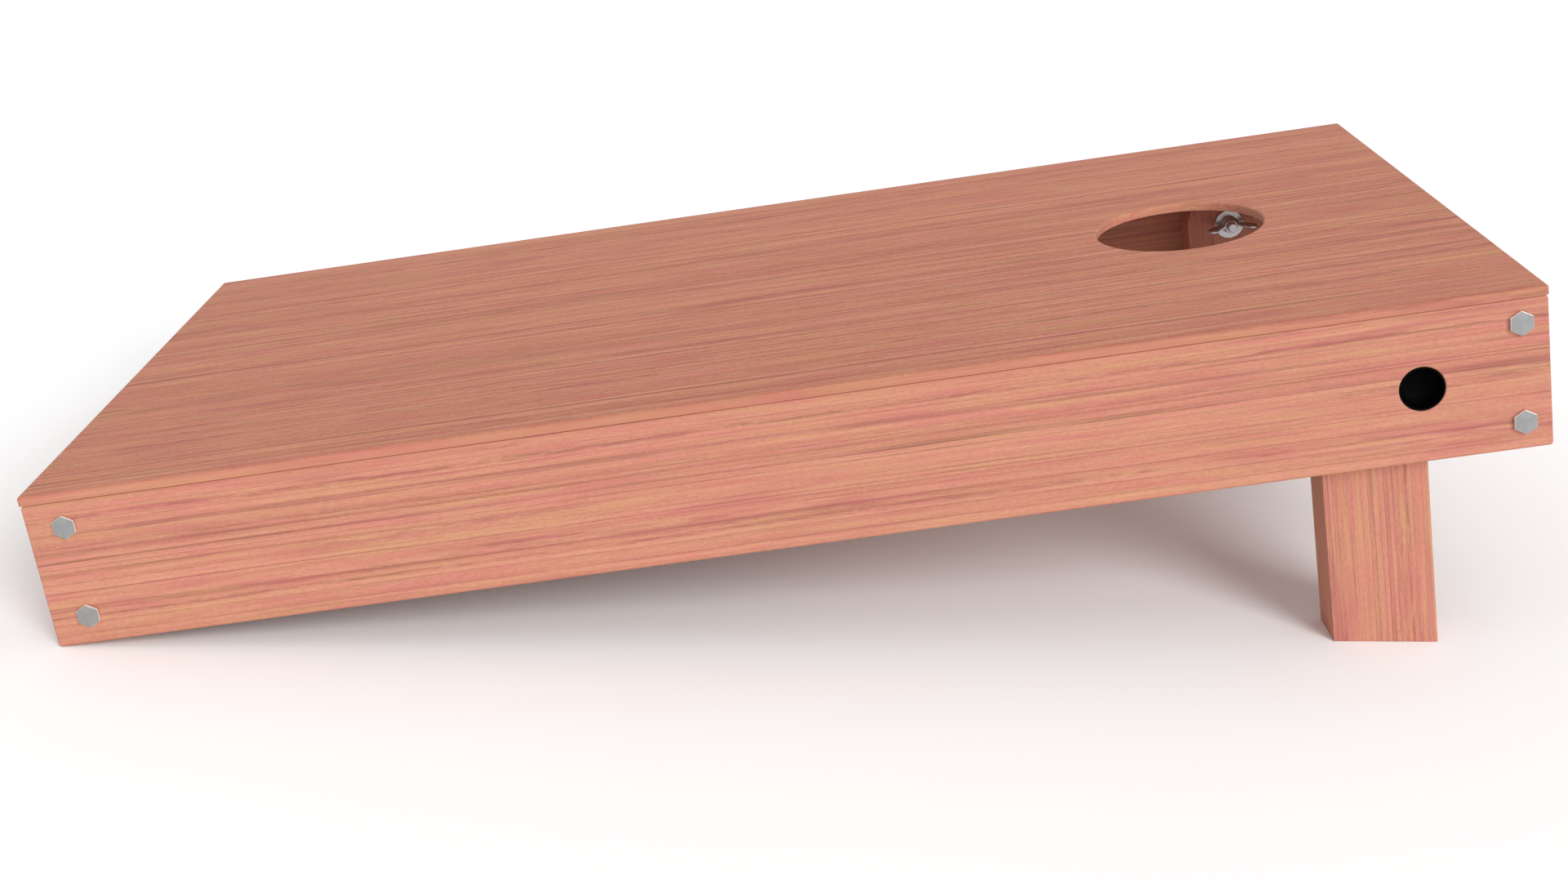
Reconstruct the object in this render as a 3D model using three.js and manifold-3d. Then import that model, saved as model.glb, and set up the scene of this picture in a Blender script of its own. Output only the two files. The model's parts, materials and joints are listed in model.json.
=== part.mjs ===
// A regulation cornhole board: a plywood deck on a frame of two side rails and two end rails, with two
// legs that fold up inside the frame. Millimetres, +Z up. The board rises towards +X, and the origin is
// on the ground under the middle of its bounding box.
import * as THREE from 'three';
import { mergeVertices } from 'three/addons/utils/BufferGeometryUtils.js';
import Module from 'manifold-3d';

const wasm = await Module();
wasm.setup();

// Driving dimensions -----------------------------------------------------------------------------------
const GAP = 0.3;                       // clearance between pieces that touch

const DECK = { length: 1219.2, width: 609.6, thickness: 8, lowOverhang: 1.4, highOverhang: 1 };
const SCORING_HOLE = { diameter: 152.4, fromHighEnd: 228.6 };

const RAIL = { height: 125, thickness: 19 };
const END_RAIL = { thickness: 42, lowSetback: 10.6, highSetback: 1 };
const BRACE = { thickness: 19, height: 100 };
const BATTEN = { size: 18, deckScrews: 4, railScrews: 2 };

const LEG = { width: 85.5, thickness: 42, fromLowEnd: 1081, pivotHeight: 58, drop: 165.5 };
const STOP_BLOCK = { bottom: 2, height: 38, screwSpacing: 24 };

const PLATE = { width: 46, height: 88, thickness: 2.4, cornerRadius: 6, screwX: 15, screwZ: 34 };
const STUD = { radius: 5, length: 64.7 };
const LEG_BORE_RADIUS = 5.6;
const WASHER = { outerRadius: 15, innerRadius: 5.6, thickness: 2 };
const WING_NUT = { baseRadius: 9.5, topRadius: 7.5, height: 11, bore: 5.4, span: 51, wingThickness: 3.6 };

const BOLT = { headAcrossFlats: 18, headHeight: 3, shankRadius: 6, length: 90 };
const BOLT_HEIGHTS = { low: [25.1, 104], high: [23.6, 106] };    // lower and upper bolt at each end
const CUP = { fromLowEnd: 1116.3, height: 61.9, outerRadius: 18, wall: 1.5, depth: 18.4 };

const DECK_SCREW = { headRadius: 4, headHeight: 2.4, shankRadius: 2, length: 24, sunk: true, access: 2 };
const RAIL_SCREW = { ...DECK_SCREW, length: 30 };
const PLATE_SCREW = { ...DECK_SCREW, length: 14 };
const STOP_SCREW = { headRadius: 5, headHeight: 3, shankRadius: 2.5, length: 55, sunk: true, access: 2 };
const POCKET_SCREW = { headRadius: 4.6, headHeight: 2, shankRadius: 2, length: 38, sunk: false, access: 45 };
const POCKET = { angle: THREE.MathUtils.degToRad(15), reach: 25, heights: [44, 84] };

const ROUND = { screw: 10, bolt: 20, cup: 40, hole: 64, nut: 24, legTop: 20 };   // facets per circle

// Derived places, in the board's own frame: x from the low end of the rails towards the high end, y
// across the board from its centre line, z square to the deck from the rails' bottom edge ---------------
const railLength = DECK.length - DECK.lowOverhang - DECK.highOverhang;
const halfWidth = DECK.width / 2;
const innerHalf = halfWidth - RAIL.thickness - GAP;
const deckBottom = RAIL.height + GAP;
const deckTop = deckBottom + DECK.thickness;
const tilt = Math.atan(LEG.drop / LEG.fromLowEnd);

const lowRail = { start: END_RAIL.lowSetback, end: END_RAIL.lowSetback + END_RAIL.thickness };
const highRailEnd = railLength - END_RAIL.highSetback;
const highRail = { start: highRailEnd - END_RAIL.thickness, end: highRailEnd };
const legEdge = LEG.fromLowEnd + LEG.width / 2;
const braceStart = (railLength - BRACE.thickness) / 2;
const battenSpan = { start: lowRail.end + GAP, end: highRail.start - GAP };
const battenBottom = RAIL.height - GAP - BATTEN.size;

// Distances inwards from a side rail's outer face, one after the other along the pivot stud
const plateFace = RAIL.thickness + GAP;
const legFace = plateFace + PLATE.thickness + GAP;
const washerFace = legFace + LEG.thickness + GAP;
const nutFace = washerFace + WASHER.thickness + GAP;

// The side at -Y is the right one for a player who throws from the low end
const SIDES = [{ name: 'right', sign: -1 }, { name: 'left', sign: 1 }];
const inside = (side, distance) => side.sign * (halfWidth - distance);
const inwards = (side) => new THREE.Vector3(0, -side.sign, 0);

// Materials --------------------------------------------------------------------------------------------
const paint = (color, roughness, metalness) =>
  new THREE.MeshStandardMaterial({ color, roughness, metalness });
const deckWood = paint(0xc8856a, 0.6, 0);
const frameWood = paint(0xd9987a, 0.6, 0);
const legWood = paint(0xdda184, 0.6, 0);
const innerWood = paint(0xcfa17f, 0.75, 0);
const boltSteel = paint(0xa9aaac, 0.45, 0.8);
const zincSteel = paint(0xb4b6b8, 0.4, 0.9);
const blackPlastic = paint(0x101012, 0.5, 0);

// Solids -----------------------------------------------------------------------------------------------
function toSolid(geometry) {
  const bare = geometry.clone();
  bare.deleteAttribute('normal');
  bare.deleteAttribute('uv');
  const merged = mergeVertices(bare, 1e-3);
  const index = merged.index.array;
  const triangles = [];
  for (let i = 0; i < index.length; i += 3) {
    const [a, b, c] = index.slice(i, i + 3);
    if (a !== b && b !== c && c !== a) triangles.push(a, b, c);
  }
  const vertProperties = new Float32Array(merged.attributes.position.array);
  const triVerts = new Uint32Array(triangles);
  return new wasm.Manifold(new wasm.Mesh({ numProp: 3, vertProperties, triVerts }));
}

function toGeometry(solid) {
  const mesh = solid.getMesh();
  const geometry = new THREE.BufferGeometry();
  geometry.setAttribute('position', new THREE.BufferAttribute(new Float32Array(mesh.vertProperties), 3));
  geometry.setIndex(new THREE.BufferAttribute(new Uint32Array(mesh.triVerts), 1));
  geometry.computeVertexNormals();
  return geometry;
}

const join = (first, ...others) =>
  toGeometry(others.reduce((solid, other) => solid.add(toSolid(other)), toSolid(first)));

const cut = (geometry, cutters) =>
  toGeometry(cutters.reduce((solid, cutter) => solid.subtract(toSolid(cutter)), toSolid(geometry)));

// A box between two corners
function block(low, high) {
  const size = high.map((value, i) => value - low[i]);
  const middle = high.map((value, i) => (value + low[i]) / 2);
  return new THREE.BoxGeometry(...size).translate(...middle);
}

// An outline drawn in x and z, made solid between two distances inwards from a side rail's outer face
function sidePanel(outline, side, near, far, curveSegments) {
  const options = { depth: far - near, bevelEnabled: false, curveSegments };
  const highestY = Math.max(inside(side, near), inside(side, far));
  return new THREE.ExtrudeGeometry(outline, options).rotateX(Math.PI / 2).translate(0, highestY, 0);
}

// A turned piece about a line along y. The profile is [radius, distance inwards] pairs
function turned(side, profile, segments) {
  const points = profile.map(([radius, distance]) => new THREE.Vector2(radius, -side.sign * distance));
  if (side.sign > 0) points.reverse();
  return new THREE.LatheGeometry(points, segments);
}

function rectangle(width, height) {
  const outline = new THREE.Shape();
  outline.moveTo(-width / 2, -height / 2);
  outline.lineTo(width / 2, -height / 2);
  outline.lineTo(width / 2, height / 2);
  outline.lineTo(-width / 2, height / 2);
  outline.closePath();
  return outline;
}

function roundHole(x, y, radius) {
  const hole = new THREE.Path();
  hole.absarc(x, y, radius, 0, 2 * Math.PI, true);
  return hole;
}

// Fasteners --------------------------------------------------------------------------------------------
// A screw along +Y with the top of its head at y = 0. With clearance it is the hole the screw needs, with
// a straight way in for the head
function screwGeometry(spec, clearance = 0) {
  const { headRadius, headHeight, shankRadius, length, sunk, access } = spec;
  const neckY = -headHeight - clearance;
  const profile = [[0, -length - clearance], [shankRadius + clearance, 2 * shankRadius - length]];
  profile.push([shankRadius + clearance, neckY]);
  if (!sunk) profile.push([headRadius + clearance, neckY]);
  profile.push([headRadius + clearance, clearance ? -clearance : 0]);
  if (clearance) profile.push([headRadius + clearance, access]);
  profile.push([0, clearance ? access : 0]);
  return new THREE.LatheGeometry(profile.map(([r, y]) => new THREE.Vector2(r, y)), ROUND.screw);
}

// A frame bolt along +Y with a low hexagon head, a corner of it up. The face under the head is at y = 0
function boltGeometry() {
  const headRadius = BOLT.headAcrossFlats / Math.sqrt(3);
  const head = new THREE.CylinderGeometry(headRadius, headRadius, BOLT.headHeight, 6);
  head.translate(0, BOLT.headHeight / 2, 0);
  return join(head, boltShank(BOLT.shankRadius, BOLT.length, 1));
}

function boltShank(radius, length, above) {
  const shank = new THREE.CylinderGeometry(radius, radius, length + above, ROUND.bolt);
  return shank.translate(0, (above - length) / 2, 0);
}

const fasteners = [];

function addFastener(name, geometry, hole, material, position, outwards) {
  const turn = new THREE.Quaternion().setFromUnitVectors(new THREE.Vector3(0, 1, 0), outwards);
  const place = new THREE.Matrix4().compose(position, turn, new THREE.Vector3(1, 1, 1));
  const mesh = new THREE.Mesh(geometry, material);
  mesh.name = name;
  mesh.applyMatrix4(place);
  fasteners.push({ mesh, hole: hole.clone().applyMatrix4(place) });
}

function addScrew(name, spec, position, outwards) {
  addFastener(name, screwGeometry(spec), screwGeometry(spec, GAP), zincSteel, position, outwards);
}

function addFrameBolts(side) {
  const hole = boltShank(BOLT.shankRadius + GAP, BOLT.length + GAP, 1);
  for (const [end, rail] of [['low', lowRail], ['high', highRail]]) {
    BOLT_HEIGHTS[end].forEach((height, i) => {
      const name = `frame_bolt_${side.name}_${end}_${['lower', 'upper'][i]}`;
      const position = new THREE.Vector3((rail.start + rail.end) / 2, inside(side, -GAP), height);
      addFastener(name, boltGeometry(), hole, boltSteel, position, inwards(side).negate());
    });
  }
}

function addBattenScrews(side) {
  const span = battenSpan.end - battenSpan.start;
  const middle = plateFace + BATTEN.size / 2;
  for (let i = 0; i < BATTEN.deckScrews; i++) {
    const x = battenSpan.start + span * (i + 0.5) / BATTEN.deckScrews;
    const position = new THREE.Vector3(x, inside(side, middle), battenBottom);
    addScrew(`deck_screw_${side.name}_${i + 1}`, DECK_SCREW, position, new THREE.Vector3(0, 0, -1));
  }
  for (let i = 0; i < BATTEN.railScrews; i++) {
    const x = battenSpan.start + span * (i + 0.5) / BATTEN.railScrews;
    const height = battenBottom + BATTEN.size / 2;
    const position = new THREE.Vector3(x, inside(side, plateFace + BATTEN.size), height);
    addScrew(`batten_screw_${side.name}_${i + 1}`, RAIL_SCREW, position, inwards(side));
  }
}

function addPlateScrews(side) {
  const corners = [[-1, -1], [1, -1], [-1, 1], [1, 1]];
  corners.forEach(([alongX, alongZ], i) => {
    const x = LEG.fromLowEnd + alongX * PLATE.screwX;
    const z = LEG.pivotHeight + alongZ * PLATE.screwZ;
    const position = new THREE.Vector3(x, inside(side, plateFace + PLATE.thickness), z);
    addScrew(`pivot_plate_screw_${side.name}_${i + 1}`, PLATE_SCREW, position, inwards(side));
  });
}

function addStopScrews(side) {
  const middle = (legEdge + highRail.start) / 2;
  [-1, 1].forEach((along, i) => {
    const x = middle + along * STOP_BLOCK.screwSpacing / 2;
    const z = STOP_BLOCK.bottom + STOP_BLOCK.height / 2;
    const position = new THREE.Vector3(x, inside(side, plateFace + LEG.thickness), z);
    addScrew(`stop_block_screw_${side.name}_${i + 1}`, STOP_SCREW, position, inwards(side));
  });
}

// Pocket screws run at a slant from the brace's face, through its end and into the side rail
function addPocketScrews(side) {
  const back = new THREE.Vector3(-Math.sin(POCKET.angle), -side.sign * Math.cos(POCKET.angle), 0);
  POCKET.heights.forEach((height, i) => {
    const endFace = new THREE.Vector3(braceStart + BRACE.thickness / 2, side.sign * innerHalf, height);
    const position = endFace.addScaledVector(back, POCKET.reach);
    addScrew(`pocket_screw_${side.name}_${i + 1}`, POCKET_SCREW, position, back);
  });
}

for (const side of SIDES) {
  addFrameBolts(side);
  addBattenScrews(side);
  addPlateScrews(side);
  addStopScrews(side);
  addPocketScrews(side);
}

// A fixed piece with a hole for every fastener that crosses it
const bored = (geometry) => cut(geometry, fasteners.map((fastener) => fastener.hole));

// Deck and frame ---------------------------------------------------------------------------------------
function deckGeometry() {
  const outline = rectangle(DECK.length, DECK.width);
  outline.holes.push(roundHole(DECK.length / 2 - SCORING_HOLE.fromHighEnd, 0, SCORING_HOLE.diameter / 2));
  const options = { depth: DECK.thickness, bevelEnabled: false, curveSegments: ROUND.hole / 2 };
  const slab = new THREE.ExtrudeGeometry(outline, options);
  return bored(slab.translate(DECK.length / 2 - DECK.lowOverhang, 0, deckBottom));
}

function sideRailGeometry(side) {
  const outer = inside(side, 0);
  const inner = inside(side, RAIL.thickness);
  const plank = block([0, Math.min(outer, inner), 0], [railLength, Math.max(outer, inner), RAIL.height]);
  const cupHole = new THREE.CylinderGeometry(CUP.outerRadius + GAP, CUP.outerRadius + GAP, 60, ROUND.cup);
  cupHole.translate(CUP.fromLowEnd, inside(side, 0), CUP.height);
  return bored(cut(plank, [cupHole]));
}

function endRailGeometry(rail) {
  return bored(block([rail.start, -innerHalf, 0], [rail.end, innerHalf, RAIL.height]));
}

// The brace's two upper corners are notched to let the deck battens pass
function braceGeometry() {
  const top = RAIL.height - GAP;
  const notch = BATTEN.size + GAP;
  const outline = new THREE.Shape();
  outline.moveTo(-innerHalf, top - BRACE.height);
  outline.lineTo(innerHalf, top - BRACE.height);
  outline.lineTo(innerHalf, top - notch);
  outline.lineTo(innerHalf - notch, top - notch);
  outline.lineTo(innerHalf - notch, top);
  outline.lineTo(notch - innerHalf, top);
  outline.lineTo(notch - innerHalf, top - notch);
  outline.lineTo(-innerHalf, top - notch);
  outline.closePath();
  const plank = new THREE.ExtrudeGeometry(outline, { depth: BRACE.thickness, bevelEnabled: false });
  const [x, y, z] = [new THREE.Vector3(1, 0, 0), new THREE.Vector3(0, 1, 0), new THREE.Vector3(0, 0, 1)];
  plank.applyMatrix4(new THREE.Matrix4().makeBasis(y, z, x));
  return bored(plank.translate(braceStart, 0, 0));
}

function battenGeometry(side) {
  const faces = [inside(side, plateFace), inside(side, plateFace + BATTEN.size)];
  const low = [battenSpan.start, Math.min(...faces), battenBottom];
  const high = [battenSpan.end, Math.max(...faces), battenBottom + BATTEN.size];
  return bored(block(low, high));
}

// The block fills the space between the opened leg and the high end rail, so the leg can't splay out
function stopBlockGeometry(side) {
  const faces = [inside(side, plateFace), inside(side, plateFace + LEG.thickness)];
  const low = [legEdge + GAP, Math.min(...faces), STOP_BLOCK.bottom];
  const high = [highRail.start - GAP, Math.max(...faces), STOP_BLOCK.bottom + STOP_BLOCK.height];
  return bored(block(low, high));
}

// A blind cup pressed into the side rail, open at the rail's outer face
function cupGeometry(side) {
  const innerRadius = CUP.outerRadius - CUP.wall;
  const floor = CUP.depth - CUP.wall;
  const profile = [[0, floor], [innerRadius, floor], [innerRadius, 0], [CUP.outerRadius, 0]];
  profile.push([CUP.outerRadius, CUP.depth], [0, CUP.depth]);
  return turned(side, profile, ROUND.cup);
}

// Pivot plate with its welded stud, leg, washer and wing nut, each about the pivot line ------------------
function plateGeometry(side) {
  const { width, height, cornerRadius: r } = PLATE;
  const outline = new THREE.Shape();
  outline.moveTo(r - width / 2, -height / 2);
  outline.absarc(width / 2 - r, r - height / 2, r, -Math.PI / 2, 0);
  outline.absarc(width / 2 - r, height / 2 - r, r, 0, Math.PI / 2);
  outline.absarc(r - width / 2, height / 2 - r, r, Math.PI / 2, Math.PI);
  outline.absarc(r - width / 2, r - height / 2, r, Math.PI, 1.5 * Math.PI);
  outline.closePath();
  const plate = sidePanel(outline, side, plateFace, plateFace + PLATE.thickness, 4);
  const stud = new THREE.CylinderGeometry(STUD.radius, STUD.radius, STUD.length, ROUND.nut);
  stud.translate(0, inside(side, plateFace + STUD.length / 2), 0);
  const pivot = [LEG.fromLowEnd, 0, LEG.pivotHeight];
  return bored(join(plate, stud).translate(...pivot));
}

// The foot is cut along the ground, which slopes by the tilt in the board's frame
function legGeometry(side) {
  const half = LEG.width / 2;
  const footAt = (x) => -(LEG.fromLowEnd + x) * Math.tan(tilt) - LEG.pivotHeight;
  const outline = new THREE.Shape();
  outline.moveTo(-half, footAt(-half));
  outline.lineTo(half, footAt(half));
  outline.absarc(0, 0, half, 0, Math.PI);
  outline.closePath();
  outline.holes.push(roundHole(0, 0, LEG_BORE_RADIUS));
  return sidePanel(outline, side, legFace, legFace + LEG.thickness, ROUND.legTop);
}

function washerGeometry(side) {
  const { outerRadius: outer, innerRadius: inner, thickness } = WASHER;
  const profile = [[inner, thickness], [inner, 0], [outer, 0], [outer, thickness], [inner, thickness]];
  return turned(side, profile, ROUND.nut);
}

// One wing, drawn with x away from the stud and y along it, away from the washer
function wingOutline() {
  const tipRadius = 4.5;
  const tipX = WING_NUT.span / 2 - tipRadius;
  const tipY = 18;
  const wing = new THREE.Shape();
  wing.moveTo(WING_NUT.bore + 1, 2);
  wing.lineTo(13, 2.5);
  wing.absarc(tipX, tipY, tipRadius, -Math.PI / 4, 0.8 * Math.PI);
  wing.lineTo(WING_NUT.topRadius + 1.5, WING_NUT.height - 0.5);
  wing.lineTo(WING_NUT.bore + 1, WING_NUT.height - 0.5);
  wing.closePath();
  return wing;
}

function wingNutGeometry(side) {
  const { baseRadius, topRadius, height, bore, wingThickness } = WING_NUT;
  const profile = [[0, height], [0, 0], [baseRadius, 0], [topRadius, height], [0, height]];
  const hub = turned(side, profile, ROUND.nut);
  const options = { depth: wingThickness, bevelEnabled: false, curveSegments: 5 };
  const wing = new THREE.ExtrudeGeometry(wingOutline(), options).translate(0, 0, -wingThickness / 2);
  if (side.sign > 0) wing.rotateX(Math.PI);
  const otherWing = wing.clone().rotateY(Math.PI);
  const hole = new THREE.CylinderGeometry(bore, bore, 60, ROUND.nut);
  return cut(join(hub, wing, otherWing), [hole]);
}

// Assembly ---------------------------------------------------------------------------------------------
const board = new THREE.Group();

function add(name, geometry, material, position = [0, 0, 0]) {
  const mesh = new THREE.Mesh(geometry, material);
  mesh.name = name;
  mesh.position.set(...position);
  board.add(mesh);
}

add('deck', deckGeometry(), deckWood);
add('low_end_rail', endRailGeometry(lowRail), frameWood);
add('high_end_rail', endRailGeometry(highRail), frameWood);
add('centre_brace', braceGeometry(), innerWood);

for (const side of SIDES) {
  const onPivot = (distance) => [LEG.fromLowEnd, inside(side, distance), LEG.pivotHeight];
  add(`side_rail_${side.name}`, sideRailGeometry(side), frameWood);
  add(`deck_batten_${side.name}`, battenGeometry(side), innerWood);
  add(`leg_stop_block_${side.name}`, stopBlockGeometry(side), innerWood);
  const cupPlace = [CUP.fromLowEnd, inside(side, 0), CUP.height];
  add(`finger_cup_${side.name}`, cupGeometry(side), blackPlastic, cupPlace);
  add(`pivot_plate_${side.name}`, plateGeometry(side), zincSteel);
  add(`leg_${side.name}`, legGeometry(side), legWood, [LEG.fromLowEnd, 0, LEG.pivotHeight]);
  add(`pivot_washer_${side.name}`, washerGeometry(side), zincSteel, onPivot(washerFace));
  add(`wing_nut_${side.name}`, wingNutGeometry(side), zincSteel, onPivot(nutFace));
}

for (const fastener of fasteners) board.add(fastener.mesh);

// The board stands on its low corner and the feet, and the origin goes under the middle of its box
const lowestX = -DECK.lowOverhang * Math.cos(tilt) - deckTop * Math.sin(tilt);
const highestX = railLength * Math.cos(tilt);
board.rotation.y = -tilt;
board.position.x = -(lowestX + highestX) / 2;

const group = new THREE.Group();
group.add(board);

export default group;
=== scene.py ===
"""The finished look of a wooden cornhole board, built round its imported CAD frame.

Lengths are in metres. The board's own frame has x along the rails from the low end, y across the board and
z square to the deck from the rails' bottom edge. BOARD takes it to the row's frame, where the board slopes.
"""

import json
import math
import random

import bmesh
import bpy
from mathutils import Matrix, Vector
from mathutils.geometry import tessellate_polygon

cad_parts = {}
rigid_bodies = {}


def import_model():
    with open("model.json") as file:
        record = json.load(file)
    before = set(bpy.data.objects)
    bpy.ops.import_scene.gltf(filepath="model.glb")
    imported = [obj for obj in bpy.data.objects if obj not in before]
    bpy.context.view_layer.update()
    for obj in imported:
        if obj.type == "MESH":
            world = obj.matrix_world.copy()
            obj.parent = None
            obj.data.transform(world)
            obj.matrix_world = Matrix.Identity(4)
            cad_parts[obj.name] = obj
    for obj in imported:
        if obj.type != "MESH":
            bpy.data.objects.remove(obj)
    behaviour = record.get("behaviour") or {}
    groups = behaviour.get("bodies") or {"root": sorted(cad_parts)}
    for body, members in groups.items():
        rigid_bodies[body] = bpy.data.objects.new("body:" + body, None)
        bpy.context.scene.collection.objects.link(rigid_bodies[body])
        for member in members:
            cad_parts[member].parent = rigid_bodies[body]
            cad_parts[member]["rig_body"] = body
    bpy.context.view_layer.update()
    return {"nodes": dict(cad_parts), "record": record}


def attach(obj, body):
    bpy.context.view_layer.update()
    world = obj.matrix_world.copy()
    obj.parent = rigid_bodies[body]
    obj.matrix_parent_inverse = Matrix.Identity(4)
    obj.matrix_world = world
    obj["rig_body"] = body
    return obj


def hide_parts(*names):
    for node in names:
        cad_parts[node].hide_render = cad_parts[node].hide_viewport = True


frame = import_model()

# Sizes that the CAD boxes don't give -------------------------------------------------------------------
SCORING_HOLE_RADIUS = 0.0762
SCORING_HOLE_FROM_HIGH_END = 0.2286
GAP = 0.0003                    # left between pieces that meet

# An edge is the rounding between two faces. A corner is the rounding of a plank's broad face, or a bolt's.
DECK_EDGE = 0.0024
DECK_LOWER_EDGE = 0.0006
DECK_CORNER = 0.0027
RAIL_EDGE = 0.0016
RAIL_CORNER = 0.0026
LEG_EDGE = 0.0009
LEG_CORNER = 0.0011
INNER_EDGE = 0.0008
BOLT_EDGE = 0.0006
BOLT_CORNER = 0.0009
STEEL_EDGE = 0.0005
PLATE_CORNER = 0.006
CRISP_ANGLE = math.radians(40)  # faces that meet at more than this stay crisp after a cut

BOLT_SHANK = {"radius": 0.006, "chamfer": 0.001}
PLATE_THICKNESS = 0.0024
PLATE_SCREW_RADIUS = 0.0043
STUD_RADIUS = 0.005
STUD_CHAMFER = 0.001
LEG_BORE_RADIUS = 0.0056
THREAD = {"pitch": 0.0015, "depth": 0.0008, "length": 0.024}
CUP = {"wall": 0.0015, "lip": 0.0003, "mouth": 0.0011, "floor": 0.009, "clearance": 0.0001}

# Screws by use. A sunk head lies in a shallow hollow, and the others lie at the end of a long pocket.
SCREWS = {
    "stop_block": {"head": 0.005, "height": 0.003, "shank": 0.0025, "sunk": True},
    "pocket": {"head": 0.0046, "height": 0.002, "shank": 0.002, "sunk": False},
    "other": {"head": 0.004, "height": 0.0024, "shank": 0.002, "sunk": True},
}

SIDES = {"right": -1, "left": 1}
NODES = frame["nodes"]
SLOTS = {part["node"]: part["material_slot"] for part in frame["record"]["subparts"]}

# The board's own frame ---------------------------------------------------------------------------------
def points_in(matrix, node):
    return [matrix @ v.co for v in NODES[node].data.vertices]


def corners(points):
    low = Vector([min(p[i] for p in points) for i in range(3)])
    high = Vector([max(p[i] for p in points) for i in range(3)])
    return low, high


def slope_of_deck():
    mount = next(m for m in frame["record"]["mounts"] if m["name"] == "playing_surface")
    normal = mount["axis"]
    return math.atan2(-normal[0], normal[2])


TILT = slope_of_deck()
SLOPE = Matrix.Rotation(-TILT, 4, "Y")
rail_low, _ = corners(points_in(SLOPE.inverted(), "side_rail_right"))
BOARD = SLOPE @ Matrix.Translation((rail_low.x, 0, rail_low.z))
TO_BOARD = BOARD.inverted()


def board_box(node):
    """The lowest and highest corner of a CAD node in the board's own frame."""
    return corners(points_in(TO_BOARD, node))


def distances(node):
    """How far a node lies from the board's centre line, nearest first."""
    low, high = board_box(node)
    return sorted((abs(low.y), abs(high.y)))


# Outlines ----------------------------------------------------------------------------------------------
# An outline is a list of (point, outward normal) pairs, so that rounded surfaces are shaded truly.
def rounded_outline(corner_points, radii, steps=6, closed=True):
    """A path with each corner rounded by its radius. The outward side is on the right of its way."""
    outline = []
    count = len(corner_points)
    for i, radius in enumerate(radii):
        at = Vector(corner_points[i])
        way_in = (at - Vector(corner_points[i - 1])).normalized()
        way_out = (Vector(corner_points[(i + 1) % count]) - at).normalized()
        if not closed and i == 0:
            way_in = way_out
        if not closed and i == count - 1:
            way_out = way_in
        turn = math.atan2(way_in.x * way_out.y - way_in.y * way_out.x, way_in.dot(way_out))
        outward = Vector((way_in.y, -way_in.x))
        if turn == 0 or radius == 0:
            outline.append((at, outward))
            continue
        bulge = math.copysign(radius, turn)
        centre = at - way_in * radius * math.tan(abs(turn) / 2) - outward * bulge
        for k in range(steps + 1):
            normal = outward.copy()
            normal.rotate(Matrix.Rotation(turn * k / steps, 2))
            outline.append((centre + normal * bulge, normal))
    return outline


def rounded_rectangle(low, high, radius, steps=6):
    corner_points = [low, (high[0], low[1]), high, (low[0], high[1])]
    return rounded_outline(corner_points, [radius] * 4, steps)


def round_hole(centre, radius, steps):
    outline = []
    for k in range(steps):
        angle = -2 * math.pi * k / steps
        outward = Vector((math.cos(angle), math.sin(angle)))
        outline.append((Vector(centre) + outward * radius, -outward))
    return outline


# Shapes ------------------------------------------------------------------------------------------------
class Shape:
    """Points, each with its true normal, and faces, gathered for one mesh."""

    def __init__(self):
        self.points, self.normals, self.faces = [], [], []

    def ring(self, pairs):
        start = len(self.points)
        for point, normal in pairs:
            self.points.append(Vector(point))
            self.normals.append(Vector(normal).normalized())
        return list(range(start, start + len(pairs)))

    def face(self, indices):
        """Adds a face, turned so that it looks the way its points' normals do."""
        a, b, c = (self.points[indices[k]] for k in (0, 1, 2))
        way = (b - a).cross(c - a)
        if len(indices) == 4:
            way += (c - a).cross(self.points[indices[3]] - a)
        looks = sum((self.normals[i] for i in indices), Vector())
        self.faces.append(tuple(indices) if way.dot(looks) > 0 else tuple(reversed(indices)))

    def bridge(self, ring_a, ring_b):
        for i in range(len(ring_a)):
            self.face((ring_a[i - 1], ring_a[i], ring_b[i], ring_b[i - 1]))

    def cap(self, rings):
        """Fills between rings in one flat plane square to z. The first ring is the outer one."""
        indices = [i for ring in rings for i in ring]
        loops = [[(*self.points[i].xy, 0) for i in ring] for ring in rings]
        for triangle in tessellate_polygon(loops):
            self.face([indices[k] for k in triangle])

    def circle(self, point, normal, segments):
        """A ring about z, from its (radius, z) and its normal there."""
        pairs = []
        for k in range(segments):
            angle = 2 * math.pi * k / segments
            way = Vector((math.cos(angle), math.sin(angle)))
            pairs.append((Vector((*(way * point.x), point.y)), Vector((*(way * normal.x), normal.y))))
        return self.ring(pairs)

    def point_cap(self, ring, point, normal):
        tip, = self.ring([(point, normal)])
        for i in range(len(ring)):
            self.face((ring[i - 1], ring[i], tip))

    def moved(self, matrix):
        turn = matrix.to_3x3()
        self.points = [matrix @ p for p in self.points]
        self.normals = [(turn @ n).normalized() for n in self.normals]
        return self

    def add(self, other):
        start = len(self.points)
        self.points += other.points
        self.normals += other.normals
        self.faces += [tuple(i + start for i in face) for face in other.faces]
        return self


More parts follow.
